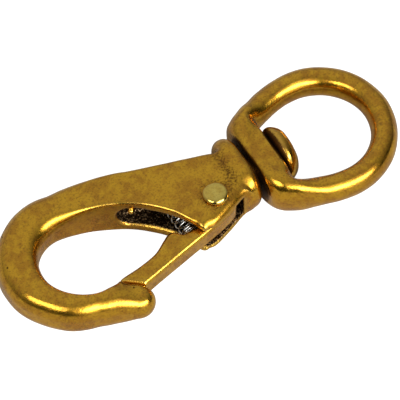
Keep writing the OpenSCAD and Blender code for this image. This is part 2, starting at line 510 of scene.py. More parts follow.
@dataclass(frozen=True)
class TumbledBrass:
    """Sand-cast brass, tumbled and handled.

    The eye sees a warm ochre metal with slow blotches of tarnish, brown specks where sand left
    pits, edges rubbed bright, and dark brown patina in the corners that no cloth reaches. The
    same brown also paints shade in the gaps between parts and under the stud's head, and the raw
    slot faces are painted nearly black as shade, with painted glints of metal.
    """

    name: str
    bright: str = "#E6B02E"
    tarnish: str = "#C88F28"
    rubbed: str = "#F2CB62"
    patina_and_shade_brown: str = "#68461F"
    # Raw faces left by the core sand, painted nearly black as shade deep in the slot, with painted glints of
    # metal.
    cored_and_shaded: str = "#2E2014"
    painted_glint: str = "#B99C74"
    roughness: float = 0.2
    tarnish_dulls: float = 0.08
    dirt_and_shade_dulls: float = 0.25
    rim_polish: float = -0.06
    speck: float = 0.42
    rubbing: float = 0.55
    # A thin oily film from handling, which sharpens the highlights a little.
    film: float = 0.3
    film_roughness: float = 0.14
    blotch_mm: float = 7.0
    cloud_mm: float = 1.9
    # Pits and grain are drawn a little coarser than moulding sand, so that they show.
    pit_mm: float = 0.5
    grain_mm: float = 0.28
    bump_mm: float = 0.02
    core_relief: float = 14.0
    grain_share: float = 0.35
    # Where each pattern starts and is complete, in the pattern's own value.
    tarnish_span: Span = (0.82, 1.2)
    speck_span: Span = (0.46, 0.74)
    nook_span: Span = (0.66, 1.22)
    painted_glint_span: Span = (0.52, 0.66)
    nook_pull: float = 1.05

    def make(self) -> bpy.types.Material:
        """Build the node material.

        Returns:
            The material.
        """
        material = bpy.data.materials.new(self.name)
        material.use_nodes = True
        tree = material.node_tree
        tree.nodes.clear()
        where = add_node(tree, "ShaderNodeTexCoord").outputs["Object"]
        blotch = add_node(tree, "ShaderNodeTexNoise", {
            "Vector": where, "Scale": per_mm(self.blotch_mm), "Detail": 5.0, "Roughness": 0.62,
        }).outputs["Fac"]
        cloud = add_node(tree, "ShaderNodeTexNoise", {
            "Vector": where, "Scale": per_mm(self.cloud_mm), "Detail": 3.0, "Roughness": 0.6,
        }).outputs["Fac"]
        pit = add_node(tree, "ShaderNodeTexNoise", {
            "Vector": where, "Scale": per_mm(self.pit_mm), "Detail": 2.0, "Roughness": 0.5,
        }).outputs["Fac"]
        grain = add_node(tree, "ShaderNodeTexNoise", {
            "Vector": where, "Scale": per_mm(self.grain_mm), "Detail": 2.0, "Roughness": 0.6,
        }).outputs["Fac"]
        rim = add_node(tree, "ShaderNodeAttribute", attribute_name="rim").outputs["Fac"]
        patina_and_shade = add_node(tree, "ShaderNodeAttribute", attribute_name="patina_and_shade").outputs["Fac"]
        raw_core_and_shade = add_node(tree, "ShaderNodeAttribute", attribute_name="raw_core_and_shade").outputs["Fac"]
        mixed = add_node(tree, "ShaderNodeMath", {0: blotch, 1: cloud}, operation="ADD").outputs[0]
        tarnished = add_node(tree, "ShaderNodeMapRange", {
            "Value": mixed, "From Min": self.tarnish_span[0], "From Max": self.tarnish_span[1],
        }, interpolation_type="SMOOTHSTEP").outputs["Result"]
        speck = add_node(tree, "ShaderNodeMapRange", {
            "Value": pit, "From Min": self.speck_span[0], "From Max": self.speck_span[1],
            "To Max": self.speck,
        }, interpolation_type="SMOOTHSTEP").outputs["Result"]
        skin_tone = add_node(tree, "ShaderNodeMix", {
            0: tarnished, 6: linear(self.bright), 7: linear(self.tarnish),
        }, data_type="RGBA").outputs[2]
        specked = add_node(tree, "ShaderNodeMix", {
            0: speck, 6: skin_tone, 7: linear(self.patina_and_shade_brown),
        }, data_type="RGBA").outputs[2]
        worn = add_node(tree, "ShaderNodeMath", {0: rim, 1: self.rubbing},
                        operation="MULTIPLY").outputs[0]
        edged = add_node(tree, "ShaderNodeMix", {
            0: worn, 6: specked, 7: linear(self.rubbed),
        }, data_type="RGBA").outputs[2]
        # The patina mask also carries painted shade from the gaps between parts and from under the stud's
        # head.
        caught = add_node(tree, "ShaderNodeMath", {
            0: patina_and_shade, 1: self.nook_pull, 2: pit,
        }, operation="MULTIPLY_ADD").outputs[0]
        ragged = add_node(tree, "ShaderNodeMapRange", {
            "Value": caught, "From Min": self.nook_span[0], "From Max": self.nook_span[1],
        }, interpolation_type="SMOOTHSTEP").outputs["Result"]
        dirt_and_shade = add_node(tree, "ShaderNodeMath", {0: ragged, 1: raw_core_and_shade}, operation="MAXIMUM",
                        use_clamp=True).outputs[0]
        # Painted glints of metal scattered over the raw slot faces.
        painted_glint_share = add_node(tree, "ShaderNodeMapRange", {
            "Value": pit, "From Min": self.painted_glint_span[0], "From Max": self.painted_glint_span[1],
        }).outputs["Result"]
        sand_shade_and_glint = add_node(tree, "ShaderNodeMix", {
            0: painted_glint_share, 6: linear(self.cored_and_shaded), 7: linear(self.painted_glint),
        }, data_type="RGBA").outputs[2]
        # Raw slot faces take the near-black painted shade and its painted glints; elsewhere the patina
        # brown.
        crust_and_shade = add_node(tree, "ShaderNodeMix", {
            0: raw_core_and_shade, 6: linear(self.patina_and_shade_brown), 7: sand_shade_and_glint,
        }, data_type="RGBA").outputs[2]
        soiled = add_node(tree, "ShaderNodeMix", {0: dirt_and_shade, 6: edged, 7: crust_and_shade},
                          data_type="RGBA").outputs[2]
        dulled = add_node(tree, "ShaderNodeMath", {
            0: tarnished, 1: self.tarnish_dulls, 2: self.roughness,
        }, operation="MULTIPLY_ADD").outputs[0]
        dirty = add_node(tree, "ShaderNodeMath", {
            0: dirt_and_shade, 1: self.dirt_and_shade_dulls, 2: dulled,
        }, operation="MULTIPLY_ADD").outputs[0]
        rough = add_node(tree, "ShaderNodeMath", {
            0: rim, 1: self.rim_polish, 2: dirty,
        }, operation="MULTIPLY_ADD", use_clamp=True).outputs[0]
        fine = add_node(tree, "ShaderNodeMath", {
            0: grain, 1: self.grain_share, 2: cloud,
        }, operation="MULTIPLY_ADD").outputs[0]
        sand = add_node(tree, "ShaderNodeMath", {
            0: raw_core_and_shade, 1: self.core_relief, 2: 1.0,
        }, operation="MULTIPLY_ADD").outputs[0]
        relief = add_node(tree, "ShaderNodeMath", {
            0: pit, 1: sand, 2: fine,
        }, operation="MULTIPLY_ADD").outputs[0]
        bump = add_node(tree, "ShaderNodeBump", {
            "Height": relief, "Distance": self.bump_mm * MM,
        }).outputs["Normal"]
        coat = add_node(tree, "ShaderNodeMath", {
            0: dirt_and_shade, 1: -self.film, 2: self.film,
        }, operation="MULTIPLY_ADD", use_clamp=True).outputs[0]
        metal = add_node(tree, "ShaderNodeBsdfPrincipled", {
            "Base Color": soiled, "Metallic": 1.0, "Roughness": rough, "Normal": bump,
            "Coat Weight": coat, "Coat Roughness": self.film_roughness, "Coat Normal": bump,
        }).outputs["BSDF"]
        add_node(tree, "ShaderNodeOutputMaterial", {"Surface": metal})
        return material


@dataclass(frozen=True)
class DrawnStainless:
    """Stainless spring wire, cold drawn: a bright grey metal with faint lengthwise die lines."""

    name: str
    colour: str = "#C9C8C4"
    roughness: float = 0.2
    roughness_spread: float = 0.15
    darkest: float = 0.78
    # Real die lines are finer than this; they are drawn this coarse so that they show.
    line_mm: float = 0.25
    bump_mm: float = 0.004

    def make(self) -> bpy.types.Material:
        """Build the node material.

        Returns:
            The material.
        """
        material = bpy.data.materials.new(self.name)
        material.use_nodes = True
        tree = material.node_tree
        tree.nodes.clear()
        where = add_node(tree, "ShaderNodeTexCoord").outputs["Object"]
        line = add_node(tree, "ShaderNodeTexNoise", {
            "Vector": where, "Scale": per_mm(self.line_mm), "Detail": 2.0,
        }).outputs["Fac"]
        tone = add_node(tree, "ShaderNodeMapRange", {
            "Value": line, "To Min": self.darkest, "To Max": 1.0,
        }).outputs["Result"]
        colour = add_node(tree, "ShaderNodeMix", {
            0: 1.0, 6: linear(self.colour), 7: tone,
        }, data_type="RGBA", blend_type="MULTIPLY").outputs[2]
        rough = add_node(tree, "ShaderNodeMath", {
            0: line, 1: self.roughness_spread, 2: self.roughness - self.roughness_spread / 3,
        }, operation="MULTIPLY_ADD").outputs[0]
        bump = add_node(tree, "ShaderNodeBump", {
            "Height": line, "Distance": self.bump_mm * MM,
        }).outputs["Normal"]
        metal = add_node(tree, "ShaderNodeBsdfPrincipled", {
            "Base Color": colour, "Metallic": 1.0, "Roughness": rough, "Normal": bump,
        }).outputs["BSDF"]
        add_node(tree, "ShaderNodeOutputMaterial", {"Surface": metal})
        return material


# ---------------------------------------------------------------- the object's pieces


def finish_piece(piece: bpy.types.Object, material: bpy.types.Material, body: str, node: str) -> None:
    """Dress a piece and tie it to the frame.

    Args:
        piece: The new object.
        material: Its finish.
        body: The CAD body it rides on.
        node: The CAD node it stands for.
    """
    piece.data.materials.clear()
    piece.data.materials.append(material)
    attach(piece, body)
    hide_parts(node)
    log.info("%s: %d vertices, rides %s", piece.name, len(piece.data.vertices), body)


# How far the search for each piece's skin reaches past its CAD box, in millimetres.
BROAD_MARGIN = 0.4
SMALL_MARGIN = 0.3

# How far each kind of wear feels the bend of the surface, and the bends between which it grows.
RIM_REACH = 0.45
RIM_BEND: Span = (0.18, 0.7)
NOOK_REACH = 1.3
NOOK_BEND: Span = (0.12, 0.9)


def traits_of(field: Field, p: np.ndarray, raw_core_and_shade: np.ndarray | None = None) -> dict[str, np.ndarray]:
    """Wear values of a casting: rubbed rims, patina in sheltered nooks, and raw cored faces, which the
    finish paints darker as shade.

    Args:
        field: The casting's signed distance.
        p: Its vertices.
        raw_core_and_shade: Share of each point that is raw cored surface.

    Returns:
        The point values by name.
    """
    return {
        "rim": ramp(bend(field, p, RIM_REACH), *RIM_BEND),
        "patina_and_shade": ramp(-bend(field, p, NOOK_REACH), *NOOK_BEND),
        "raw_core_and_shade": np.zeros(len(p)) if raw_core_and_shade is None else raw_core_and_shade,
    }


@dataclass(frozen=True)
class EdgeRounding:
    """How far an edge is rounded in millimetres: on the bow, and the change on each other stretch."""

    bow: float
    shank: float
    nose: float
    rim: float

    def along(self, shank: np.ndarray, nose: np.ndarray, rim: np.ndarray) -> np.ndarray:
        """Rounding at each point, from its share of shank, nose and rim."""
        return self.bow + self.shank * shank + self.nose * nose + self.rim * rim


@dataclass
class HookCasting:
    """The hook: bow, knob, shank, slotted cheeks and the oval collar across the swivel axis."""

    # Bow, an arc outside and an arc inside; the outside is fuller at the shoulder, flat below.
    bow_out: Point = (-73.0, -0.7)
    bow_out_r: float = 18.75
    bow_in: Point = (-70.75, -3.05)
    bow_in_r: float = 11.3
    bow_half: float = 5.9
    shoulder: float = 0.42
    shoulder_at: float = 96.0
    flat: float = 0.5
    flat_at: float = 218.0
    stretch: float = 20.0
    bow_out_turn: Span = (80.0, 256.0)
    bow_in_turn: Span = (-70.0, -270.0)
    # Outside, from the collar along the back, and from the bow round the knob to the collar.
    back: tuple[Point, ...] = (
        (-25.4, 5.3), (-46.0, 11.2), (-56.0, 14.7), (-62.5, 16.75), (-66.2, 17.6),
    )
    nose: tuple[Point, ...] = (
        (-75.4, -19.4), (-73.4, -20.1), (-71.2, -20.75), (-68.6, -21.8), (-66.6, -22.65),
    )
    knob: Point = (-64.45, -19.2)
    knob_r: float = 4.1
    knob_turn: Span = (-118.0, 20.0)
    under_gate: tuple[Point, ...] = ((-58.0, -17.5), (-46.0, -15.9), (-41.5, -14.2))
    lower_cheek: tuple[Point, ...] = (
        (-39.8, -12.85), (-38.3, -12.85), (-36.0, -12.25), (-32.9, -11.05), (-29.5, -9.75),
        (-25.4, -8.2),
    )
    # Opening: the gate's seat, the bowl, the long throat and the corner of the cheeks.
    seat: Point = (-66.9, -13.35)
    seat_way: float = -36.0
    seat_length: float = 5.5
    throat_r: float = 31.0
    throat_turn: Span = (87.0, 27.0)
    cheek_corner: tuple[Point, ...] = (
        (-42.5, -9.9), (-42.1, -11.1), (-41.5, -12.1), (-40.75, -12.7), (-39.8, -12.9),
    )
    gate_way: tuple[Point, ...] = (
        (-38.3, -14.5), (-42.0, -26.0), (-57.0, -26.5), (-57.5, -21.5), (-60.2, -18.6),
    )
    # Thickness and edges, and the stretches along which they change.
    cheek_half: float = 6.75
    nose_thinner: float = 1.75
    shank_x: Span = (-71.0, -51.0)
    nose_x: Span = (-71.0, -64.0)
    knob_end_x: Span = (-57.0, -54.0)
    knob_below_y: Span = (9.0, 13.0)
    nose_y: Span = (-15.0, -11.0)
    rim_x: Span = (-46.0, -42.0)
    rim_y: Span = (-7.0, -3.0)
    corner_x: Span = (-44.5, -41.0)
    corner_more: float = 0.9
    throat_x: Span = (-74.0, -58.0)
    lower_y: Span = (-13.0, -4.0)
    lower_less: float = 0.8
    outer_edge: EdgeRounding = EdgeRounding(bow=4.9, shank=-3.2, nose=-0.85, rim=2.3)
    inner_edge: EdgeRounding = EdgeRounding(bow=3.0, shank=-1.6, nose=1.1, rim=0.9)
    most_of_half: float = 0.97
    seam: float = 0.9
    seam_at_rim: float = 0.4
    scoop: Point = (-78.0, 8.5)
    scoop_depth: float = 1.7
    scoop_spread: float = 60.0
    groove_x: float = -28.0
    groove_depth: float = 0.2
    groove_w: float = 1.9
    # Slot between the cheeks: round-bottomed where it runs out in the shank.
    slot_half: float = 3.7
    slot_end: Point = (-53.3, 3.4)
    slot_way: float = 62.5
    slot_mouth: tuple[Point, ...] = ((-57.5, -4.0), (-58.5, 6.9))
    slot_floor: tuple[Point, ...] = (
        (-52.5, 6.8), (-50.0, 6.2), (-43.5, 4.5), (-33.5, 2.9), (-27.75, 1.4),
    )
    slot_below: tuple[Point, ...] = ((-27.75, -18.0), (-52.0, -18.0))
    slot_corner: float = 0.8
    slot_lip: float = 0.95
    # Collar, and a burr that the trimming left at the slot's end.
    collar_x: Point = (-26.7, -21.9)
    collar_y: float = 0.7
    collar_w: float = 9.9
    collar_h: float = 7.2
    collar_round: float = 2.3
    collar_fillet: float = 1.8
    burr: tuple[float, float, float] = (-53.7, 2.9, 3.25)
    burr_r: float = 0.8
    burr_fillet: float = 0.6
    # Bores for the rivet and the stud.
    pin: Point = (-34.3, -5.5)
    pin_r: float = 2.0
    post_r: float = 3.0
    post_bore_x: float = -29.0
    # Patina: the raw slot, also painted darker there as shade, the rivet's ring, the valley by the
    # collar and small pits; and painted shade in the gap to the eye.
    core_skin: Span = (0.12, 0.5)
    core_depth: Span = (0.35, 0.9)
    ring_r: Span = (3.4, 6.2)
    ring_patina: float = 0.38
    valley_x: float = -27.9
    valley_w: float = 2.1
    valley_y: Span = (-7.5, -4.5)
    valley_patina: float = 0.42
    valley_evens: float = 0.85
    gap_x: Span = (-23.3, -22.0)
    painted_gap_shade: float = 0.9
    pits: tuple[Point, ...] = (
        (-85.2, 12.3), (-62.3, -21.2), (-64.7, -17.2), (-62.5, -14.7), (-88.9, 3.1),
    )
    pit_r: float = 0.3
    unevenness: float = 0.055

    def __post_init__(self) -> None:
        """Lay out the plan outlines once."""
        self.outer = PlanOutline([
            *flowing(self.back, 3),
            *self._bow_back(),
            *flowing(self.nose, 4),
            *arc(self.knob, self.knob_r, *self.knob_turn, 16),
            *self.under_gate,
            *flowing(self.lower_cheek, 3),
        ])
        down = math.radians(self.seat_way)
        seat_end = (self.seat[0] + self.seat_length * math.cos(down),
                    self.seat[1] + self.seat_length * math.sin(down))
        throat = (self.bow_in[0], self.bow_in[1] + self.bow_in_r - self.throat_r)
        self.opening = PlanOutline([
            self.seat,
            *arc(self.bow_in, self.bow_in_r, *self.bow_in_turn, 60),
            *arc(throat, self.throat_r, *self.throat_turn, 24),
            *flowing(self.cheek_corner, 3),
            *self.gate_way,
            seat_end,
        ])
        self.slot_plan = PlanOutline([
            *self.slot_mouth, *flowing(self.slot_floor, 4), *self.slot_below,
        ])
        self.ripple = Ripple(11, self.unevenness)

    def _bow_back(self) -> list[Point]:
        """The bow's outside: nearly round, fuller over the shoulder and flatter below.

        Returns:
            Points along it, from the shoulder round to the front.
        """
        turn = np.linspace(*self.bow_out_turn, 58)
        reach = self.bow_out_r + self.shoulder * bell(turn, self.shoulder_at, self.stretch)
        reach -= self.flat * bell(turn, self.flat_at, self.stretch)
        x = self.bow_out[0] + reach * np.cos(np.radians(turn))
        y = self.bow_out[1] + reach * np.sin(np.radians(turn))
        return list(zip(x.tolist(), y.tolist()))

    def slot_field(self, p: np.ndarray) -> np.ndarray:
        """Space between the cheeks.

        Args:
            p: Points in millimetres.

        Returns:
            Signed distance to it.
        """
        x, y, z = p.T
        turn = math.radians(self.slot_way - 90.0)
        along = (x - self.slot_end[0]) * math.cos(turn) + (y - self.slot_end[1]) * math.sin(turn)
        profile = np.where(along < 0, np.hypot(along, z), np.abs(z)) - self.slot_half
        return soft_meet(self.slot_plan(x, y), profile, self.slot_corner)

    def _flat_body(self, p: np.ndarray) -> np.ndarray:
        """Bow, knob, shank and cheeks, with their rounded edges but without slot and collar.

        Args:
            p: Points in millimetres.

        Returns:
            Signed distance to it.
        """
        x, y, z = p.T
        h = np.abs(z)
        at_knob = 1 - ramp(x, *self.knob_end_x)
        shank = ramp(x, *self.shank_x) * (1 - ramp(-y, *self.knob_below_y) * at_knob)
        nose = ramp(x, *self.nose_x) * at_knob * (1 - ramp(y, *self.nose_y))
        rim = ramp(x, *self.rim_x) * (1 - ramp(y, *self.rim_y))
        groove = self.groove_depth * bell(x, self.groove_x, self.groove_w)
        half = self.bow_half + (self.cheek_half - self.bow_half) * shank - self.nose_thinner * nose
        half = half - groove
        wide = self.outer_edge.along(shank, nose, rim)
        away = (x - self.scoop[0]) ** 2 + (y - self.scoop[1]) ** 2
        tight = self.inner_edge.along(ramp(x, *self.throat_x), nose, rim)
        tight = tight - self.lower_less * (1 - ramp(y, *self.lower_y))
        tight = tight + self.scoop_depth * np.exp(-away / self.scoop_spread)
        tight = tight + self.corner_more * ramp(x, *self.corner_x) * rim
        most = np.minimum(wide, self.most_of_half * half)
        outside = rounded_meet(self.outer(x, y), h - half, wide, most)
        inside = rounded_meet(-self.opening(x, y), h - half, tight, tight)
        return soft_meet(outside, inside, self.seam + self.seam_at_rim * rim)

    def field(self, p: np.ndarray) -> np.ndarray:
        """Shape of the casting.

        Args:
            p: Points in millimetres.

        Returns:
            Signed distance to it.
        """
        x, y, z = p.T
        mid = (self.collar_x[0] + self.collar_x[1]) / 2
        thick = (self.collar_x[1] - self.collar_x[0]) / 2
        spread = np.maximum(np.abs(y - self.collar_y) - (self.collar_w - self.collar_h), 0.0)
        oval = np.hypot(spread, z) - self.collar_h
        collar = rounded_meet(oval, np.abs(x - mid) - thick, self.collar_round, self.collar_round)
        body = soft_union(self._flat_body(p), collar, self.collar_fillet)
        body = rounded_meet(body, -self.slot_field(p), self.slot_lip, self.slot_lip)
        burr = np.linalg.norm(p - np.array(self.burr), axis=1) - self.burr_r
        body = soft_union(body, burr, self.burr_fillet)
        body = np.maximum(body, self.pin_r - np.hypot(x - self.pin[0], y - self.pin[1]))
        body = np.maximum(body, np.minimum(self.post_r - np.hypot(y, z), x - self.post_bore_x))
        return body + self.ripple(p)

    def _wear(self, p: np.ndarray) -> dict[str, np.ndarray]:
        """Wear of the casting, with the patina that its neighbours keep from being rubbed and painted shade
        on the collar's face toward the eye.

        Args:
            p: Vertices in millimetres.

        Returns:
            The point values by name.
        """
        x, y, z = p.T
        depth = np.minimum(-self.outer(x, y), self.opening(x, y))
        # Raw slot faces, painted darker as shade the deeper they lie in the slot.
        raw_core_and_shade = (1.0 - ramp(np.abs(self.slot_field(p)), *self.core_skin)) * ramp(depth, *self.core_depth)
        traits = traits_of(self.field, p, raw_core_and_shade)
        ring = 1 - ramp(np.hypot(x - self.pin[0], y - self.pin[1]), *self.ring_r)
        valley = bell(x, self.valley_x, self.valley_w) * ramp(y, *self.valley_y)
        patina_and_shade = traits["patina_and_shade"] * (1 - self.valley_evens * valley)
        patina_and_shade = patina_and_shade + self.ring_patina * ring + self.valley_patina * valley
        # Painted shade on the collar's face toward the eye, across the gap.
        patina_and_shade = np.clip(patina_and_shade + self.painted_gap_shade * ramp(x, *self.gap_x), 0, 1)
        for pit_x, pit_y in self.pits:
            off = (x - pit_x) ** 2 + (y - pit_y) ** 2
            patina_and_shade = np.maximum(patina_and_shade, np.where(z > 0, np.exp(-off / self.pit_r**2), 0))
        traits["patina_and_shade"] = patina_and_shade
        return traits

    def build(self, material: bpy.types.Material) -> None:
        """Mesh the casting and dress it.

        Args:
            material: Its finish.
        """
        low, high = (np.array(c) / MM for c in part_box("hook_body"))
        p, quads = skin(self.field, low - BROAD_MARGIN, high + BROAD_MARGIN, Grain.BROAD.cell())
        piece = put_mesh("hook_casting", p, quads, self._wear(p))
        finish_piece(piece, material, "hook", "hook_body")


@dataclass
class GateLever:
    """The lever that closes the hook, with its hub, spring pocket and slanted tip."""

    half: float = 3.0
    pin: Point = (-34.3, -5.5)
    hub_r: float = 4.3
    hub_fillet: float = 0.6
    bore_r: float = 2.06
    # Plan: the edge toward the throat, the pocket, the heel, the hub, the outer edge, the tip.
    inner: tuple[Point, ...] = (
        (-66.2, -12.95), (-65.2, -12.4), (-60.0, -11.75), (-54.75, -10.45), (-51.0, -8.25),
        (-49.4, -7.3), (-48.2, -7.1), (-47.2, -7.45), (-46.5, -8.2), (-45.9, -8.85),
    )
    pocket: tuple[Point, ...] = ((-45.6, -8.97), (-40.7, -8.97), (-40.4, -8.75), (-40.3, -8.4))
    heel: tuple[Point, ...] = ((-40.25, -4.4), (-39.4, -3.3), (-38.0, -2.9))
    over_hub: tuple[Point, ...] = ((-34.3, -2.6), (-31.4, -3.6))
    outer: tuple[Point, ...] = (
        (-29.7, -8.2), (-31.0, -9.3), (-36.0, -11.1), (-46.0, -13.5), (-61.4, -17.25),
    )
    tip: tuple[Point, ...] = ((-61.5, -17.1), (-63.5, -15.5), (-65.9, -13.75), (-66.4, -13.3))
    # Edges are softer outside than inside; the change lies along a line through the lever.
    edge_r: float = 1.3
    inner_less: float = 0.6
    line: Point = (-34.3, -8.2)
    line_fall: float = 0.245
    inner_span: Span = (1.2, 2.4)
    unevenness: float = 0.035

    def __post_init__(self) -> None:
        """Lay out the lever's plan."""
        self.plan = PlanOutline([
            *flowing(self.inner), *self.pocket, *flowing(self.heel), *self.over_hub,
            *flowing(self.outer), *flowing(self.tip, 3),
        ])
        self.ripple = Ripple(23, self.unevenness)

    def field(self, p: np.ndarray) -> np.ndarray:
        """Shape of the lever.

        Args:
            p: Points in millimetres.

        Returns:
            Signed distance to it.
        """
        x, y, z = p.T
        from_pin = np.hypot(x - self.pin[0], y - self.pin[1])
        plan = soft_union(self.plan(x, y), from_pin - self.hub_r, self.hub_fillet)
        inward = y - self.line[1] + self.line_fall * (x - self.line[0])
        easing = self.edge_r - self.inner_less * ramp(inward, *self.inner_span)
        body = rounded_meet(plan, np.abs(z) - self.half, easing, easing)
        return np.maximum(body, self.bore_r - from_pin) + self.ripple(p)

    def build(self, material: bpy.types.Material) -> None:
        """Mesh the lever and dress it.

        Args:
            material: Its finish.
        """
        low, high = (np.array(c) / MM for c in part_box("gate"))
        p, quads = skin(self.field, low - BROAD_MARGIN, high + BROAD_MARGIN, Grain.FINE.cell())
        piece = put_mesh("gate_lever", p, quads, traits_of(self.field, p))
        finish_piece(piece, material, "gate", "gate")


@dataclass
class GateRivet:
    """The rivet through cheeks and gate, its two heads peened to flat-topped domes."""

    pin: Point = (-34.3, -5.5)
    shank_r: float = 1.97
    head_r: float = 3.42
    head_top: float = 8.05
    dome_r: float = 8.5
    # Roundings: from the head's side, from its dome, and round its seat on the cheek.
    side_round: float = 0.95
    dome_round: float = 0.75
    seat_round: float = 0.25
    cheek_half: float = 6.75
    sunk: float = 0.03
    shank_short: float = 0.5
    dent_depth: float = 0.08
    dent_waves: Span = (2.4, 7.0)

    def __post_init__(self) -> None:
        """Draw the hammer marks."""
        self.dents = Ripple(5, self.dent_depth, *self.dent_waves)

    def field(self, p: np.ndarray) -> np.ndarray:
        """Shape of the rivet.

        Args:
            p: Points in millimetres.

        Returns:
            Signed distance to it.
        """
        x, y, z = p.T
        r = np.hypot(x - self.pin[0], y - self.pin[1])
        h = np.abs(z)
        dome = np.hypot(r, h - self.head_top + self.dome_r) - self.dome_r
        head = rounded_meet(r - self.head_r, dome, self.side_round, self.dome_round)
        seat = self.cheek_half - self.sunk - h
        head = rounded_meet(head, seat, self.seat_round, self.seat_round)
        shank = np.maximum(r - self.shank_r, h - self.head_top + self.shank_short)
        return np.minimum(head + self.dents(p), shank)

    def build(self, material: bpy.types.Material) -> None:
        """Mesh the rivet and dress it.

        Args:
            material: Its finish.
        """
        low, high = (np.array(c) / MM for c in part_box("gate_pin"))
        p, quads = skin(self.field, low - SMALL_MARGIN, high + SMALL_MARGIN, Grain.TINY.cell())
        piece = put_mesh("gate_rivet", p, quads, traits_of(self.field, p))
        finish_piece(piece, material, "hook", "gate_pin")


@dataclass
class SwivelStud:
    """The stud that the eye turns on, with a button head inside the eye."""

    shank_r: float = 2.97
    tail_x: float = -27.6
    head_x: float = -13.45
    head_y: float = 0.4
    head_r: float = 7.5
    head_t: float = 4.85
    dome_r: float = 17.0
    dome_round: float = 2.5
    side_round: float = 2.3
    under_round: float = 2.0
    overlap: float = 1.0
    # Span over which the head's underside is painted darker as shade.
    under_span: Span = (0.3, 1.3)
    unevenness: float = 0.05
    waves: Span = (2.5, 9.0)

    def __post_init__(self) -> None:
        """Draw the head's unevenness."""
        self.ripple = Ripple(31, self.unevenness, *self.waves)

    def field(self, p: np.ndarray) -> np.ndarray:
        """Shape of the stud.

        Args:
            p: Points in millimetres.

        Returns:
            Signed distance to it.
        """
        x, y, z = p.T
        r = np.hypot(y, z)
        rise = x - self.head_x
        shank = np.maximum(r - self.shank_r, np.maximum(self.tail_x - x, rise - self.overlap))
        off = np.hypot(y - self.head_y, z)
        dome = np.hypot(rise - (self.head_t - self.dome_r), off) - self.dome_r
        head = rounded_meet(dome, off - self.head_r, self.dome_round, self.side_round)
        head = rounded_meet(head, -rise, self.under_round, self.under_round)
        return np.minimum(shank, head + self.ripple(p))

    def build(self, material: bpy.types.Material) -> None:
        """Mesh the stud and dress it.

        Args:
            material: Its finish.
        """
        low, high = (np.array(c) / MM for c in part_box("swivel_post"))
        p, quads = skin(self.field, low - SMALL_MARGIN, high + SMALL_MARGIN, Grain.FINE.cell())
        traits = traits_of(self.field, p)
        # Painted shade on the head's underside, where it sits against the eye's base.
        shade_under_head = 1 - ramp(p[:, 0] - self.head_x, *self.under_span)
        traits["patina_and_shade"] = np.clip(traits["patina_and_shade"] + shade_under_head, 0, 1)
        piece = put_mesh("swivel_stud", p, quads, traits)
        finish_piece(piece, material, "hook", "swivel_post")


@dataclass
class SwivelEye:
    """The D-shaped eye and the thick base that turns on the stud."""

    crown_r: float = 16.2
    bar_r: float = 3.4
    bar_half: float = 4.0
    side_r: float = 24.9
    # Toward the base the bars lean out, thin down across and deepen through.
    near_x: Span = (-16.0, -7.0)
    lean: float = 0.5
    thinner: float = 0.7
    deeper: float = 1.3
    bar_end_x: float = -17.5
    base_x: Point = (-20.8, -13.8)
    base_w: float = 12.2
    base_y: float = 0.45
    base_half: float = 6.05
    base_power: float = 2.8
    base_round: float = 1.7
    head_side_round: float = 1.3
    # The fillet from bar to base is wide at the sides and small under the stud's head.
    fillet: float = 4.2
    fillet_less: float = 2.9
    fillet_x: Span = (-15.8, -13.6)
    fillet_y: Span = (10.0, 13.0)
    bore_r: float = 3.06
    bore_end_x: float = -10.0
    # Painted shade in the gap to the hook's collar and in the ring under the stud's head.
    gap_x: Span = (-20.75, -20.25)
    gap_r: Span = (8.0, 10.5)
    painted_gap_shade: float = 0.7
    under_x: Span = (-14.9, -14.2)
    under_end_x: Span = (-13.3, -12.9)
    under_r: Span = (6.9, 7.9)
    unevenness: float = 0.06

    def __post_init__(self) -> None:
        """Draw the casting's unevenness."""
        self.ripple = Ripple(47, self.unevenness)

    def field(self, p: np.ndarray) -> np.ndarray:
        """Shape of the eye.

        Args:
            p: Points in millimetres.

        Returns:
            Signed distance to it.
        """
        x, y, z = p.T
        across = np.abs(y)
        near = 1 - ramp(x, *self.near_x)
        crown = np.abs(np.hypot(x, y) - self.crown_r)
        side = np.hypot(x, across - (self.crown_r - self.side_r)) - self.side_r
        side = np.hypot(np.abs(side - self.lean * near), np.maximum(self.bar_end_x - x, 0.0))
        line = np.where(x > 0, crown, side)
        bar = np.hypot(line / (self.bar_r - self.thinner * near), z / (self.bar_half + self.deeper * near))
        bar = (bar - 1.0) * self.bar_r
        mid = (self.base_x[0] + self.base_x[1]) / 2
        thick = (self.base_x[1] - self.base_x[0]) / 2
        wide_share = (np.abs(y - self.base_y) / self.base_w) ** self.base_power
        high_share = (np.abs(z) / self.base_half) ** self.base_power
        oval = ((wide_share + high_share) ** (1 / self.base_power) - 1.0) * self.base_half
        edge = np.where(x < mid, self.base_round, self.head_side_round)
        base = rounded_meet(oval, np.abs(x - mid) - thick, edge, edge)
        under_head = ramp(x, *self.fillet_x) * (1 - ramp(across, *self.fillet_y))
        body = soft_union(bar, base, self.fillet - self.fillet_less * under_head)
        body = np.maximum(body, self.base_x[0] - x)
        body = np.maximum(body, np.minimum(self.bore_r - np.hypot(y, z), self.bore_end_x - x))
        return body + self.ripple(p)

    def build(self, material: bpy.types.Material) -> None:
        """Mesh the eye and dress it.

        Args:
            material: Its finish.
        """
        low, high = (np.array(c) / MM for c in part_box("swivel_eye"))
        p, quads = skin(self.field, low - BROAD_MARGIN, high + BROAD_MARGIN, Grain.BROAD.cell())
        traits = traits_of(self.field, p)
        x, y, z = p.T
        around = np.hypot(y, z)
        # Painted shade in the gap to the collar and in the ring under the stud's head.
        shade_in_gap = (1 - ramp(x, *self.gap_x)) * (1 - ramp(around, *self.gap_r))
        shade_under_head = ramp(x, *self.under_x) * (1 - ramp(x, *self.under_end_x)) * (1 - ramp(around, *self.under_r))
        traits["patina_and_shade"] = np.clip(traits["patina_and_shade"] + self.painted_gap_shade * shade_in_gap + shade_under_head, 0, 1)
        piece = put_mesh("swivel_eye_casting", p, quads, traits)
        finish_piece(piece, material, "eye", "swivel_eye")


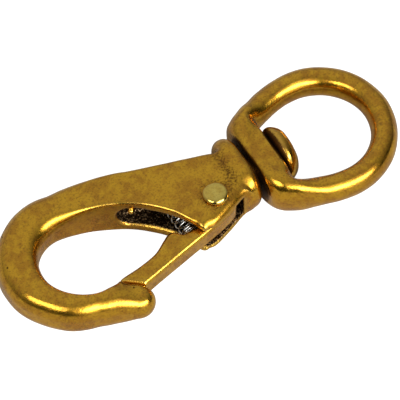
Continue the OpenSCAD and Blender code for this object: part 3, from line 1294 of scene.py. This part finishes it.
@dataclass
class GateCoil:
    """The compression coil that holds the gate shut: the turns at its two ends are closed."""

    # From the floor of the gate's pocket to the floor of the hook's slot.
    start: Point = (-43.1, -8.88)
    end: Point = (-43.5, 3.9)
    wire_r: float = 0.28
    coil_r: float = 2.05
    turns: float = 8.9
    dead: float = 1.5
    close: float = 0.62
    first: float = -0.29
    per_turn: int = 30
    sides: int = 12

    def rise(self, turn: np.ndarray) -> np.ndarray:
        """Height of the wire's centre along the coil's axis.

        Args:
            turn: Turns wound so far.

        Returns:
            The heights in millimetres.
        """
        free = math.dist(self.start, self.end) - 2 * self.wire_r
        pitch = (free - 2 * self.close * self.dead) / (self.turns - 2 * self.dead)
        middle = self.close * self.dead + pitch * (turn - self.dead)
        last = free - self.close * (self.turns - turn)
        upper = np.where(turn > self.turns - self.dead, last, middle)
        return np.where(turn < self.dead, self.close * turn, upper)

    def _sweep(self, centre: np.ndarray, out: np.ndarray, w: np.ndarray) -> bpy.types.Mesh:
        """Sweep the wire's round section along its centre line and close both ends.

        Args:
            centre: Points along the wire's centre, in millimetres.
            out: Unit vectors from the coil's axis to those points.
            w: Unit vector along the coil's axis.

        Returns:
            The wire's mesh.
        """
        around = np.linspace(0.0, 2 * math.pi, self.sides, endpoint=False)
        ring = (np.cos(around)[None, :, None] * out[:, None, :]
                + np.sin(around)[None, :, None] * w[None, None, :]) * self.wire_r
        points = (centre[:, None, :] + ring).reshape(-1, 3)
        mesh = bpy.data.meshes.new("gate_coil")
        b = bmesh.new()
        rows = [b.verts.new(Vector(q) * MM) for q in points]
        for i in range(len(centre) - 1):
            for j in range(self.sides):
                k = (j + 1) % self.sides
                a, c = i * self.sides, (i + 1) * self.sides
                b.faces.new((rows[a + j], rows[a + k], rows[c + k], rows[c + j]))
        b.faces.new(rows[:self.sides])
        b.faces.new(rows[-self.sides:])
        bmesh.ops.recalc_face_normals(b, faces=b.faces)
        b.to_mesh(mesh)
        b.free()
        mesh.shade_smooth()
        return mesh

    def build(self, material: bpy.types.Material) -> None:
        """Wind the wire and dress it.

        Args:
            material: Its finish.
        """
        base = np.array([*self.start, 0.0])
        w = np.array([self.end[0] - self.start[0], self.end[1] - self.start[1], 0.0])
        w /= np.linalg.norm(w)
        v = np.array([0.0, 0.0, 1.0])
        u = np.cross(v, w)
        turn = np.linspace(0.0, self.turns, int(self.turns * self.per_turn) + 1)
        angle = 2 * math.pi * (turn + self.first)
        out = np.cos(angle)[:, None] * u + np.sin(angle)[:, None] * v
        centre = base + (self.wire_r + self.rise(turn))[:, None] * w + out * self.coil_r
        mesh = self._sweep(centre, out, w)
        piece = bpy.data.objects.new("gate_coil", mesh)
        bpy.context.scene.collection.objects.link(piece)
        finish_piece(piece, material, "hook", "gate_spring")
        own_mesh(piece)


# ---------------------------------------------------------------- studio


@dataclass
class Studio:
    """Pale floor, soft lights, a dim room and the camera."""

    aim: tuple[float, float, float] = (-36.22, -1.32, 0.0)
    azimuth: float = -31.0
    elevation: float = 57.0
    distance: float = 1.2
    view_width: float = 0.1
    # Soft boxes: the way to each, how far off, its width and height, and its power.
    front: tuple[float, float, float] = (0.15, -0.8, 0.52)
    front_far: float = 1.0
    front_size: Point = (0.95, 0.34)
    front_watts: float = 8.0
    side: tuple[float, float, float] = (-0.72, -0.3, 0.62)
    side_far: float = 1.1
    side_size: Point = (0.6, 0.4)
    side_watts: float = 3.0
    # Room: dim low behind, brighter high and behind, with a soft glow round the front box.
    room_tilt: float = 0.75
    room_span: Span = (-0.05, 1.12)
    room_light: Span = (0.02, 0.49)
    halo_span: Span = (0.78, 1.0)
    halo_light: float = 1.5
    floor_half: float = 1.2
    floor_z: float = -8.15
    floor_lift: float = 0.95

    def place(self) -> None:
        """Make the floor, the lights, the surroundings and the camera."""
        self._floor()
        self._lights()
        self._surroundings()
        self._camera()

    def _floor(self) -> None:
        """A matt, pale board under the hook."""
        mesh = bpy.data.meshes.new("floor")
        half = self.floor_half
        corners = [(-half, -half), (half, -half), (half, half), (-half, half)]
        mesh.from_pydata([(x, y, self.floor_z * MM) for x, y in corners], [], [(0, 1, 2, 3)])
        floor = bpy.data.objects.new("floor", mesh)
        bpy.context.scene.collection.objects.link(floor)
        material = bpy.data.materials.new("pale_board")
        material.use_nodes = True
        tree = material.node_tree
        tree.nodes.clear()
        seen = add_node(tree, "ShaderNodeLightPath").outputs["Is Camera Ray"]
        glow = add_node(tree, "ShaderNodeMath", {
            0: seen, 1: self.floor_lift,
        }, operation="MULTIPLY").outputs[0]
        board = add_node(tree, "ShaderNodeBsdfPrincipled", {
            "Base Color": linear("#BBB8B2"), "Roughness": 0.9, "Specular IOR Level": 0.1,
            "Emission Color": linear("#FFFFFF"), "Emission Strength": glow,
        }).outputs["BSDF"]
        add_node(tree, "ShaderNodeOutputMaterial", {"Surface": board})
        floor.data.materials.append(material)

    def _lamp(self, name: str, way: Sequence[float], distance: float, size: Point, power: float) -> None:
        """Add one soft box facing the hook.

        Args:
            name: Name of the light.
            way: Direction from the hook to the light.
            distance: How far it stands, in metres.
            size: Its width and height in metres.
            power: Its radiant power in watts.
        """
        data = bpy.data.lights.new(name, "AREA")
        data.shape = "RECTANGLE"
        data.size, data.size_y = size
        data.energy = power
        lamp = bpy.data.objects.new(name, data)
        bpy.context.scene.collection.objects.link(lamp)
        target = Vector(self.aim) * MM
        lamp.location = target + Vector(way).normalized() * distance
        lamp.rotation_euler = (target - lamp.location).to_track_quat("-Z", "Y").to_euler()

    def _lights(self) -> None:
        """A long soft box in front, and a dimmer one to the side."""
        self._lamp("front_box", self.front, self.front_far, self.front_size, self.front_watts)
        self._lamp("side_box", self.side, self.side_far, self.side_size, self.side_watts)

    def _surroundings(self) -> None:
        """A dim room, so that the metal has a dark horizon."""
        world = bpy.data.worlds.new("studio_room")
        bpy.context.scene.world = world
        world.use_nodes = True
        tree = world.node_tree
        tree.nodes.clear()
        way = add_node(tree, "ShaderNodeTexCoord").outputs["Generated"]
        part = add_node(tree, "ShaderNodeSeparateXYZ", {0: way}).outputs
        tilt = add_node(tree, "ShaderNodeMath", {
            0: part["Y"], 1: self.room_tilt, 2: part["Z"],
        }, operation="MULTIPLY_ADD").outputs[0]
        lift = add_node(tree, "ShaderNodeMapRange", {
            "Value": tilt, "From Min": self.room_span[0], "From Max": self.room_span[1],
            "To Min": self.room_light[0], "To Max": self.room_light[1],
        }).outputs["Result"]
        facing = add_node(tree, "ShaderNodeVectorMath", {
            0: way, 1: tuple(Vector(self.front).normalized()),
        }, operation="DOT_PRODUCT").outputs["Value"]
        halo = add_node(tree, "ShaderNodeMapRange", {
            "Value": facing, "From Min": self.halo_span[0], "From Max": self.halo_span[1],
            "To Max": self.halo_light,
        }, interpolation_type="SMOOTHSTEP").outputs["Result"]
        both = add_node(tree, "ShaderNodeMath", {0: lift, 1: halo}, operation="ADD").outputs[0]
        glow = add_node(tree, "ShaderNodeBackground", {
            "Color": linear("#FFFFFF"), "Strength": both,
        }).outputs[0]
        add_node(tree, "ShaderNodeOutputWorld", {"Surface": glow})

    def _camera(self) -> None:
        """A long lens looking down at the hook."""
        data = bpy.data.cameras.new("camera")
        data.lens = data.sensor_width * self.distance / self.view_width
        data.clip_end = 10.0
        data.clip_start = 0.05
        camera = bpy.data.objects.new("camera", data)
        bpy.context.scene.collection.objects.link(camera)
        a, e = math.radians(self.azimuth), math.radians(self.elevation)
        back = Vector((math.sin(a) * math.cos(e), -math.cos(a) * math.cos(e), math.sin(e)))
        camera.location = Vector(self.aim) * MM + back * self.distance
        camera.rotation_euler = (-back).to_track_quat("-Z", "Y").to_euler()
        bpy.context.scene.camera = camera
        bpy.context.scene.view_settings.view_transform = "Standard"


def main() -> None:
    """Build the pieces in order, then the studio around them."""
    logging.basicConfig(level=logging.INFO, format="%(name)s: %(message)s")
    Studio().place()
    HookCasting().build(TumbledBrass("tumbled_cast_brass").make())
    GateLever().build(TumbledBrass("satin_gate_brass", roughness=0.22, blotch_mm=5.0).make())
    rivet_brass = TumbledBrass("peened_rivet_brass", bright="#F0D468", tarnish="#DDBB52",
                               roughness=0.14, speck=0.25)
    GateRivet().build(rivet_brass.make())
    GateCoil().build(DrawnStainless("drawn_stainless_wire").make())
    SwivelStud().build(TumbledBrass("tumbled_stud_brass", roughness=0.16).make())
    SwivelEye().build(TumbledBrass("tumbled_eye_brass", roughness=0.18).make())


if __name__ == "__main__":
    main()
